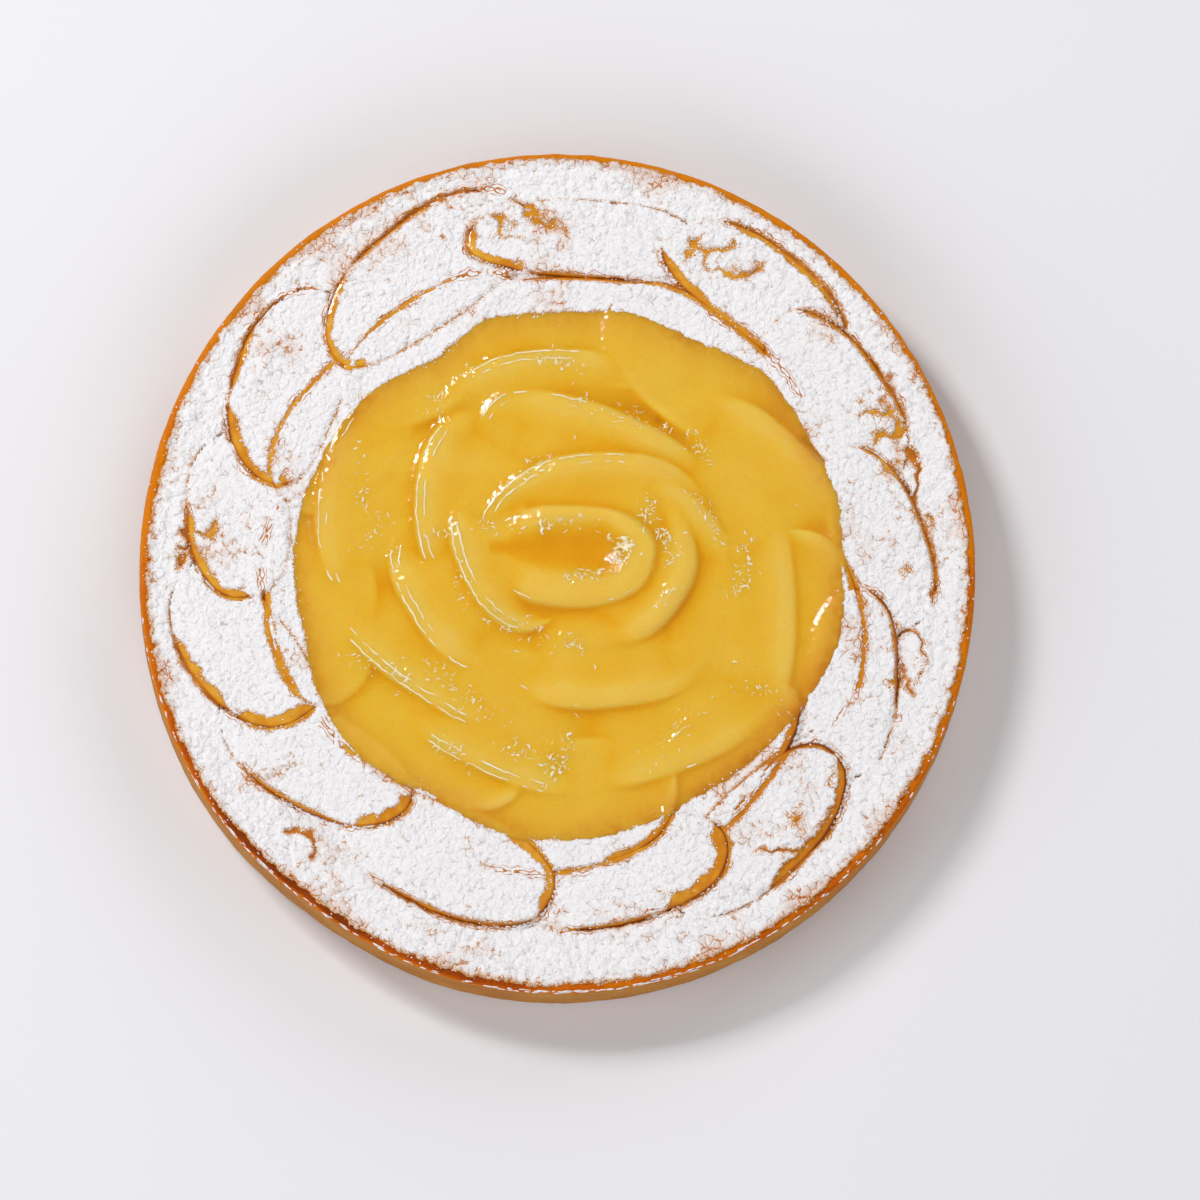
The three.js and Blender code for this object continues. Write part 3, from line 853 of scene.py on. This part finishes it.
# Rings of points: distances in from the outline in mm, then shares of the innermost of those rings.
INSETS = [0, 0.2, 0.5, 0.9, 1.4, 2.0, 2.7, 3.5, 4.5, 5.8, 7.4]
SHARES = [0.8, 0.6, 0.4, 0.2, 0.05]
ABOVE_DOME = 0.5
THINNEST = 0.4
for seed, (tier, piece, name) in enumerate(SLICES):
    x, y, rings = slice_points(piece, seed, AROUND, INSETS, SHARES)
    z = hollowed(slice_top(tier, piece, seed, x, y)[0], x, y)
    outer = slice(-AROUND, None)
    side_x, side_y = x[outer], y[outer]
    floor_z = dome_top(np.hypot(side_x, side_y)) + ABOVE_DOME
    z[outer] = np.maximum(z[outer], floor_z + THINNEST)
    x = np.concatenate([x, side_x, side_x])
    y = np.concatenate([y, side_y, side_y])
    z = np.concatenate([z, (z[outer] + floor_z) / 2, floor_z])
    edge = smooth(-outline_place(piece, seed, x, y)[0], -1.1, -0.1)
    brown = np.clip(browning(x, y) * (1 + 0.9 * edge), 0, 1)
    in_ring = "slice" in name
    made = mesh_piece(
        name + ".flesh",
        np.stack([x, y, z], axis=1),
        closed_faces(rings + 2, AROUND),
        baked if in_ring else glazed,
        "ring_pear" if in_ring else "rose_pear",
        {"deep": syrup_and_painted_shade(x, y), "brown": brown, "wrinkled": LEAST_WRINKLED + 0 * x},
    )
    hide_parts(name)

# ---- Syrup glaze ----
# Over the rose, out to just under the sugar: it rounds off the folds between the slices. It is modelled
# down to the cream, so that light can spread inside it as it does in the pear.
GLAZE_UNDER_SUGAR = 2.5
GLAZE_REACH = 100
GLAZE_CELL = 0.57
GLAZE_SINK = 0.3  # below the surface at its outline
axis = np.arange(-GLAZE_REACH, GLAZE_REACH, GLAZE_CELL)
x, y = np.meshgrid(axis, axis, indexing="ij")
layers = heights(x, y)
bare = hollowed(layers.max(axis=0), x, y)
inside = sugar_edge(bearing(x, y)) + GLAZE_UNDER_SUGAR - np.hypot(x, y)
glaze_z = bare - GLAZE_SINK + (glaze_surface(layers, x, y) - bare + GLAZE_SINK) * smooth(inside, 0, 2)
points, faces, _ = kept_grid(x, y, glaze_z, inside > 0, wrap=False)
points, faces = closed_below(points, faces, DOME_EDGE_Z + ABOVE_DOME)
x, y = points[:, 0], points[:, 1]
# deep: gathered syrup and painted shade in the recesses of the rose.
values = {"deep": syrup_and_painted_shade(x, y), "brown": browning(x, y), "wrinkled": wrinkled(x, y)}
mesh_piece("syrup_glaze.on_rose", points, faces, glazed, "rose_pear", values)

# ---- Threads of syrup, painted cream as highlights ----
# Painted highlights: cream threads along the edges of the rose's slices, most of them on their left sides,
# which face the light and would glint there. They wander, swell and break off.
GLINT_SIDE = polar(1, 176)
THREAD_STEP = 0.45
THREAD_RADIUS = 0.3
THINNEST_THREAD = 0.06
SHORTEST_THREAD = 4  # steps
OUTLINE_POINTS = 400
THREADS_WITHIN = 90
# Distances in from a slice's edge, and how far the side must turn towards the light there, from about -1 to
# 1.
THREAD_LINES = [(0.7, 0.0), (3.2, 0.25)]
# Cream threads and flecks that stand in for the glaze's glints: painted highlights.
syrup = painted_syrup_highlights()
runs = []
for seed, (tier, piece, name) in enumerate(SLICES):
    if "petal" not in name and "curl" not in name:
        continue
    for inset, least in THREAD_LINES:
        x, y, _ = slice_points(piece, seed, OUTLINE_POINTS, [inset], [])
        length = np.concatenate([[0], np.cumsum(np.hypot(np.diff(x), np.diff(y)))])
        spots = np.arange(0, length[-1], THREAD_STEP)
        x, y = np.interp(spots, length, x), np.interp(spots, length, y)
        outward = np.stack([np.gradient(y), -np.gradient(x)], axis=1) / THREAD_STEP
        if outward[0] @ (x[0] - x.mean(), y[0] - y.mean()) < 0:
            outward = -outward
        shift = bumps(x, y, [(0.35, 3, seed + 7), (0.15, 1.3, seed + 8)])
        x, y = x + outward[:, 0] * shift, y + outward[:, 1] * shift
        toward_glint = 0.55 * (outward @ GLINT_SIDE) + 0.6 * soft_noise(x, y, 9, 91) + 0.35 * soft_noise(x, y, 2.5, 92)
        seen = heights(x, y).argmax(axis=0) == seed + FIRST_SLICE
        radius = THREAD_RADIUS * smooth(toward_glint, least, least + 0.35) * (1 + 0.4 * soft_noise(x, y, 1.6, 93))
        z = lookup(GLAZE_Z, x, y) - 0.2 * radius
        whole = seen & (radius > THINNEST_THREAD) & (np.hypot(x, y) < THREADS_WITHIN)
        ends = np.flatnonzero(np.diff(np.concatenate([[0], whole.astype(int), [0]])))
        for start, end in zip(ends[::2], ends[1::2]):
            if end - start > SHORTEST_THREAD:
                runs.append([measure[start:end] for measure in (x, y, z, radius)])
mesh_piece("syrup_glaze.threads", *strung(runs), syrup, "rose_pear")

# ---- Flecks of syrup, painted cream as highlights ----
# The same cream as painted highlights, hooked and broken, gathered where the glaze is wrinkled. They lie
# mostly across the slope, as the wrinkles do.
FLECK_STEPS = 9
FLECKS_PER_REACH = 7
FLECKS_WITHIN = 92
SLOPE_REACH = 3
rng = np.random.default_rng(88)
runs = []
share = np.linspace(0, 1, FLECK_STEPS)
for middle_x, middle_y, reach, amount in WRINKLES_AND_GLINTS:
    slope_x, slope_y = [
        lookup(GLAZE_Z, middle_x + right, middle_y + up) - lookup(GLAZE_Z, middle_x - right, middle_y - up)
        for right, up in ((SLOPE_REACH, 0), (0, SLOPE_REACH))
    ]
    contour = math.atan2(slope_x, -slope_y)
    for _ in range(int(FLECKS_PER_REACH * reach * amount)):
        along, across = rng.normal(0, 0.95 * reach), rng.normal(0, 0.3 * reach)
        start_x = middle_x + along * math.cos(contour) - across * math.sin(contour)
        start_y = middle_y + along * math.sin(contour) + across * math.cos(contour)
        heading, turning = contour + rng.normal(0, 0.7), rng.normal(0, 2.0)
        length = 0.5 + 2.8 * rng.uniform() ** 1.5
        thick = (0.1 + 0.34 * rng.uniform() ** 2) * (1 + amount**4)
        bend = heading + turning * share
        x = start_x + length * np.cumsum(np.cos(bend)) / FLECK_STEPS
        y = start_y + length * np.cumsum(np.sin(bend)) / FLECK_STEPS
        if np.hypot(x, y).max() > FLECKS_WITHIN:
            continue
        radius = thick * np.sin(math.pi * (0.06 + 0.88 * share)) * rng.uniform(0.6, 1.3, FLECK_STEPS)
        runs.append((x, y, lookup(GLAZE_Z, x, y) - 0.25 * radius, radius))
mesh_piece("syrup_glaze.flecks", *strung(runs), syrup, "rose_pear")

# ---- Almond cream ----
CREAM_AROUND = 480
CREAM_RADII = [*np.linspace(2, 112, 12), *np.linspace(113.5, 137, 25)]  # coarse under the slices, fine beyond
OVER_FLOOR = 0.4  # keeps the underside of the cream clear of the crust's floor
angle = np.linspace(0, 360, CREAM_AROUND, endpoint=False)
rows = []
for radius in CREAM_RADII:
    x, y = polar(stretched_to_rim(radius, angle), angle)
    rows.append(np.stack([x, y, cream_top(x, y)], axis=1))
side = rows[-1].copy()
side[:, 2] = FLOOR + OVER_FLOOR
rows.append(side)
faces = closed_faces(len(rows), CREAM_AROUND)
cream = mesh_piece("almond_cream.baked", np.concatenate(rows), faces, baked_almond_cream(), "cream")
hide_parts("almond_cream")

# ---- Crust: a profile turned round, with the unevenness of rolled pastry ----
CRUST_AROUND = 640
SHOULDER_STEPS = 6
SIDE_STEPS = 23
LOWEST_SIDE = 0.8
# From the middle of the floor up the inside of the wall and over its softly rounded inner edge.
inner = RIM_RADIUS - WALL
profile = [(0.5, FLOOR), (inner, FLOOR), (inner, 14), (inner, 24), (inner, 26.2)]
profile += [(inner + 0.5, 26.75), (inner + 1.1, 26.95)]
first_rough = len(profile)
# Round the shoulder and down the flared outside.
for step in range(SHOULDER_STEPS + 1):
    bend = math.radians(90 - 90 / SHOULDER_STEPS * step)
    height = CRUST_HEIGHT - SHOULDER * (1 - math.sin(bend))
    profile.append((RIM_RADIUS - SHOULDER + SHOULDER * math.cos(bend), height))
for step in range(1, SIDE_STEPS):
    share = step / SIDE_STEPS
    height = (CRUST_HEIGHT - SHOULDER) * (1 - share) + LOWEST_SIDE * share
    profile.append((RIM_RADIUS + BASE_FLARE * share, height))
profile += [(RIM_RADIUS + BASE_FLARE - 0.3, 0.25), (RIM_RADIUS + BASE_FLARE - 1.0, 0)]
last_rough = len(profile) - 1
# Across the flat underside.
profile += [(RIM_RADIUS - 4, 0), (110, 0), (60, 0), (0.5, 0)]
angle = np.linspace(0, 360, CRUST_AROUND, endpoint=False)
arc = angle * math.pi * RIM_RADIUS / 180
rows, caught = [], []
for place, (radius, height) in enumerate(profile):
    flat = height + 0 * arc
    rough = bumps(arc, flat, PASTRY_ROUGHNESS) if first_rough <= place <= last_rough else 0.0
    level = height + rim_wave(angle) * smooth(flat, 20, 27)
    x, y = polar(stretched_to_rim(radius, angle) + rough, angle)
    rows.append(np.stack([x, y, level], axis=1))
    near_top = smooth(level, 24.4, 26.3)
    burn = 0.3 * near_top + 0.1 * smooth(-level, -3, 0)
    # Painted shade: the rim and the foot get darker towards the front, away from the light, on top of the
    # oven's browning.
    front_shade = 0.5 + 0.5 * np.cos(np.radians(angle - 275))
    inward = smooth(np.full(CRUST_AROUND, RIM_RADIUS - radius), 0.3, 1.4) * near_top
    scorched = 0.3 * inward * hump(angle - 230, 34)
    caught.append(burn * (1 + 0.6 * front_shade) + scorched + 0.05 * soft_noise(arc, flat, 14, 23))
crust = mesh_piece(
    "tart_crust.baked",
    np.concatenate(rows),
    closed_faces(len(rows), CRUST_AROUND),
    baked_shortcrust(),
    "crust",
    {"caught": np.clip(np.concatenate(caught), 0, 1)},
)
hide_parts("tart_crust")


# ---- Icing sugar: a skin that follows what lies under it and dips below it where there is no sugar ----
# Where the rim is barer: direction, spread in degrees and how much wider the bare edge is in mm.
BARER_RIM = [(9, 7, 0.7), (350, 8, 0.5), (60, 14, 0.6), (135, 14, 0.4), (172, 12, 0.8)]
FAR = 9  # distance in mm that stands for no bare patch near by
NO_SEAM = 6  # and for no cracked edge near by
WELL_INSIDE = 4  # margin in mm past which the sugar no longer frays
LEAST_SUGAR, MOST_SUGAR = 0.12, 1.6  # heights in mm
SUNK = 0.6  # how far the sugar's margin has closed up past the ends of a bare strip


def rim_bare(angle):
    """Width in mm of the bare edge of the crust in a direction given in degrees."""
    width = 2.1 + 0.5 * np.cos(np.radians(angle - 255))
    for middle, spread, extra in BARER_RIM:
        width = width + extra * hump(off_angle(angle, middle), spread)
    return width


def sugar_margin(x, y, layers):
    """Distance in mm from the nearest bare patch, positive where there is sugar, and from the nearest edge of
    a slice along which the sugar has cracked."""
    angle = bearing(x, y)
    radius = np.hypot(x, y)
    ragged = bumps(x, y, SUGAR_RAGGED)
    from_rim = rim_radius(angle) - radius - rim_bare(angle) - 1.3 * ragged
    margin = np.minimum(radius - sugar_edge(angle) - 0.8 * ragged, from_rim)
    surface, top_piece = layers.max(axis=0), layers.argmax(axis=0)
    seam = np.full_like(x, NO_SEAM)
    for seed, (tier, piece, name) in enumerate(SLICES):
        if name not in BARE_EDGES:
            continue
        _, depth, turn, plane = slice_top(tier, piece, seed, x, y)
        on_top = top_piece == seed + FIRST_SLICE
        uncovered = surface < plane + 0.4
        for start, end, width in BARE_EDGES[name]:
            past_end = (end - start) / 2 - np.abs(off_angle(turn, (start + end) / 2))
            here = smooth(past_end, -2, 14)
            reach = width * (1 + 0.5 * ragged) * here - SUNK * (1 - here)
            strip = np.where(on_top & (depth >= 0), depth - reach, FAR)
            crack = (0.05 + 0.14 * width + 0.7 * ragged) * here - SUNK * (1 - here)
            foot = np.where(uncovered & ~on_top & (depth < 0.8), -depth - crack, FAR)
            margin = np.minimum(margin, np.minimum(strip, foot))
            near = smooth(past_end + 12, 0, 12)
            cracked = np.where(surface < plane + 1.2, np.abs(depth), NO_SEAM)
            seam = np.minimum(seam, cracked + NO_SEAM * (1 - near))
    # Cracks where the border has pulled away from the slices.
    crackle = 3.2 * np.abs(bumps(x, y, SUGAR_CRACKLE))
    zone = smooth(radius, 104, 118) * smooth(132 - radius, 0, 6) * smooth(soft_noise(x, y, 22, 53), -0.1, 0.5)
    return np.minimum(margin, crackle - 0.3 + 3 * (1 - zone)), seam


def sugar_height(x, y):
    """How high the sugar lies over the surface: thicker and lumpier on the puffed border."""
    puffed = smooth(np.hypot(x, y), 112, 122)
    heaps = (0.3 + 0.9 * puffed) * clumps(x, y, 3.4, 31) + (0.45 + 0.25 * puffed) * clumps(x, y, 1.6, 32)
    heaped = LEAST_SUGAR + heaps + 0.12 * soft_noise(x, y, 9, 33)
    return np.clip(heaped, LEAST_SUGAR, MOST_SUGAR)


def sugar_thinness(x, y, margin, seam):
    """How thin the sugar is, about 0 to 1: in patches, at its edges, along the slices and towards the rim."""
    patch = smooth(bumps(x, y, SUGAR_PATCHES), -0.05, 0.95)
    from_rim = rim_radius(bearing(x, y)) - np.hypot(x, y)
    thin = 0.12 + 0.5 * patch + 0.45 * smooth(-margin, -2.2, 0) + 0.1 * soft_noise(x, y, 3, 43)
    return thin + 0.38 * smooth(-from_rim, -8, -3) + 0.2 * smooth(-seam, -3, 0)


# Two pieces, so that neither has too many faces: inner radius, outer radius and points around.
SUGAR_BANDS = [("icing_sugar.on_slices", 79, 119, 1200), ("icing_sugar.on_border", 119, 141, 1560)]
SUGAR_STEP = 0.52
SUGAR_ENDS = -0.2  # the margin at which the skin is cut off
SUGAR_SINK = 0.3  # how far the skin lies below the surface there
ROUNDING = 0.25
ROUNDING_DROP = 0.08
sugar_look = icing_sugar()
for name, start, end, around in SUGAR_BANDS:
    angle = np.linspace(0, 360, around, endpoint=False)
    radii = np.linspace(start, end, int((end - start) / SUGAR_STEP) + 1)
    grid_angle, grid_radius = np.meshgrid(angle, radii)
    x, y = polar(stretched_to_rim(grid_radius, grid_angle), grid_angle)
    layers = heights(x, y)
    margin, seam = sugar_margin(x, y, layers)
    lowest = surface = layers.max(axis=0)
    for neighbour in ((0, 1), (0, -1), (1, 0), (-1, 0)):
        lowest = np.minimum(lowest, np.roll(surface, neighbour, (0, 1)))
    under = lowest - SUGAR_SINK
    # The tops of the layers, rounded where they cross.
    rounded = np.logaddexp.reduce(layers / ROUNDING, axis=0) * ROUNDING - ROUNDING_DROP
    z = under + (rounded + sugar_height(x, y) - under) * smooth(margin, SUGAR_ENDS, 0.7)
    points, faces, used = kept_grid(x, y, z, margin > SUGAR_ENDS, wrap=True)
    values = {
        "thin": np.clip(sugar_thinness(x, y, margin, seam), 0, 1).ravel()[used],
        "seam": seam.ravel()[used],
        "margin": np.clip(margin, -1, WELL_INSIDE).ravel()[used],
    }
    mesh_piece(name, points, faces, sugar_look, "cream", values)

# ---- Loose sugar ----
# Crumbs along the edges of the sugar, on the bare strips and along the rim, fewer away from the sugar.
CRUMB_TRIES = 26000
MOST_CRUMBS = 2300
CRUMB_BAND = (80, 140.5)
CRUMB_RADII = (0.1, 0.36)
rng = np.random.default_rng(61)
angle = rng.uniform(0, 360, CRUMB_TRIES)
radius = np.sqrt(rng.uniform(CRUMB_BAND[0] ** 2, CRUMB_BAND[1] ** 2, CRUMB_TRIES))
x, y = polar(radius, angle)
layers = heights(x, y)
margin, _ = sugar_margin(x, y, layers)
chance = np.where(margin < -0.15, 0.75 * hump(margin + 0.15, 0.9) + 0.03, 0)
chance = np.where(radius > 137, chance * 0.8, chance)
kept = rng.uniform(0, 1, CRUMB_TRIES) < chance * 0.5
sizes = rng.uniform(*CRUMB_RADII, CRUMB_TRIES) * (1 - 0.3 * smooth(-margin, 0.5, 2.5))
places = np.stack([x, y, layers.max(axis=0) + 0.25 * sizes], axis=1)[kept][:MOST_CRUMBS]
sizes = sizes[kept][:MOST_CRUMBS]
sugar_lumps("icing_sugar.crumbs", places, sizes, np.ones(len(places)), sugar_look, "cream")

# Sugar caught on the very edge of the rim, in dashes that almost join up at the front.
RIM_TRIES = 900
RIM_ARC = (180, 345)
DASH_RADII = (0.14, 0.3)
DASH_STRETCH = (2.5, 8)
angle = rng.uniform(*RIM_ARC, RIM_TRIES)
often = 0.06 + 0.5 * hump(angle - 281, 18) + 0.3 * hump(angle - 225, 24)
angle = angle[rng.uniform(0, 1, RIM_TRIES) < often]
inset = rng.uniform(0.15, 0.9, len(angle))
x, y = polar(rim_radius(angle) - inset, angle)
z = CRUST_HEIGHT + rim_wave(angle) - SHOULDER * rounded_edge(inset, SHOULDER)
sizes = rng.uniform(*DASH_RADII, len(angle))
stretch = rng.uniform(*DASH_STRETCH, len(angle))
places = np.stack([x, y, z], axis=1)
sugar_lumps("icing_sugar.rim_flecks", places, sizes, stretch, sugar_look, "crust")

# ---- Floor, light and camera ----
FLOOR_HALF = 3000
FLOOR_Z = -0.02
corners = [(-1, -1), (1, -1), (1, 1), (-1, 1)]
floor = mesh_piece(
    "floor",
    [(FLOOR_HALF * u, FLOOR_HALF * v, FLOOR_Z) for u, v in corners],
    [(0, 1, 2, 3)],
    matt_paper(),
    smooth_faces=False,
)


def direction(azimuth, elevation):
    """The unit vector towards a direction given in degrees."""
    turn, rise = math.radians(azimuth), math.radians(elevation)
    return Vector((math.cos(turn) * math.cos(rise), math.sin(turn) * math.cos(rise), math.sin(rise)))


# Nothing bright stands overhead, so the wet pear keeps its colour and only its slopes catch the light.
LIGHTS = [
    # name, azimuth, elevation, distance in metres, diameter in metres, watts
    ("window light", 138, 46, 2.2, 0.5, 20.8),
    ("small lamp", 132, 54, 1.5, 0.12, 2.2),
    ("left wall", 200, 32, 1.8, 1.2, 9),
    ("front wall", 275, 32, 1.8, 1.2, 9),
    ("right wall", 340, 32, 1.8, 1.2, 6),
    ("back wall", 60, 32, 1.8, 1.2, 9),
]
for name, azimuth, elevation, distance, across, watts in LIGHTS:
    lamp = bpy.data.lights.new(name, "AREA")
    lamp.shape = "DISK"
    lamp.size = across
    lamp.energy = watts
    lamp_object = bpy.data.objects.new(name, lamp)
    toward = direction(azimuth, elevation)
    lamp_object.location = toward * distance
    lamp_object.rotation_euler = toward.to_track_quat("Z", "Y").to_euler()
    lamp_object.visible_glossy = "wall" not in name  # the walls are too dull to show in the shine
    bpy.context.scene.collection.objects.link(lamp_object)
world = bpy.data.worlds.new("pale room")
world.use_nodes = True
background = world.node_tree.nodes["Background"]
background.inputs["Color"].default_value = colour("F4F4FA")
background.inputs["Strength"].default_value = 0.15
bpy.context.scene.world = world

# A long lens, almost straight above, leaning a little to the front left.
FRAME_WIDTH = 401.7  # millimetres that the view takes in at the height of the rim
CAMERA_DISTANCE = 2400
CAMERA_ELEVATION = 81
CAMERA_AZIMUTH = 262
OFF_CENTRE = (14.1, 10.2)  # how far the tart sits left of and above the middle of the view, in mm
SENSOR = 36
camera_data = bpy.data.cameras.new("camera")
camera_data.sensor_width = SENSOR
camera_data.lens = SENSOR * CAMERA_DISTANCE / FRAME_WIDTH
camera_data.clip_end = 10
camera = bpy.data.objects.new("camera", camera_data)
backward = direction(CAMERA_AZIMUTH, CAMERA_ELEVATION)
upward = (Vector((0, 1, 0)) - backward * backward.y).normalized()
rightward = upward.cross(backward)
aim = (rightward * OFF_CENTRE[0] - upward * OFF_CENTRE[1]) * MM + Vector((0, 0, CRUST_HEIGHT * MM))
spin = Matrix((rightward, upward, backward)).transposed()
camera.matrix_world = Matrix.Translation(aim + backward * CAMERA_DISTANCE * MM) @ spin.to_4x4()
bpy.context.scene.collection.objects.link(camera)
bpy.context.scene.camera = camera
bpy.context.scene.view_settings.view_transform = "Standard"
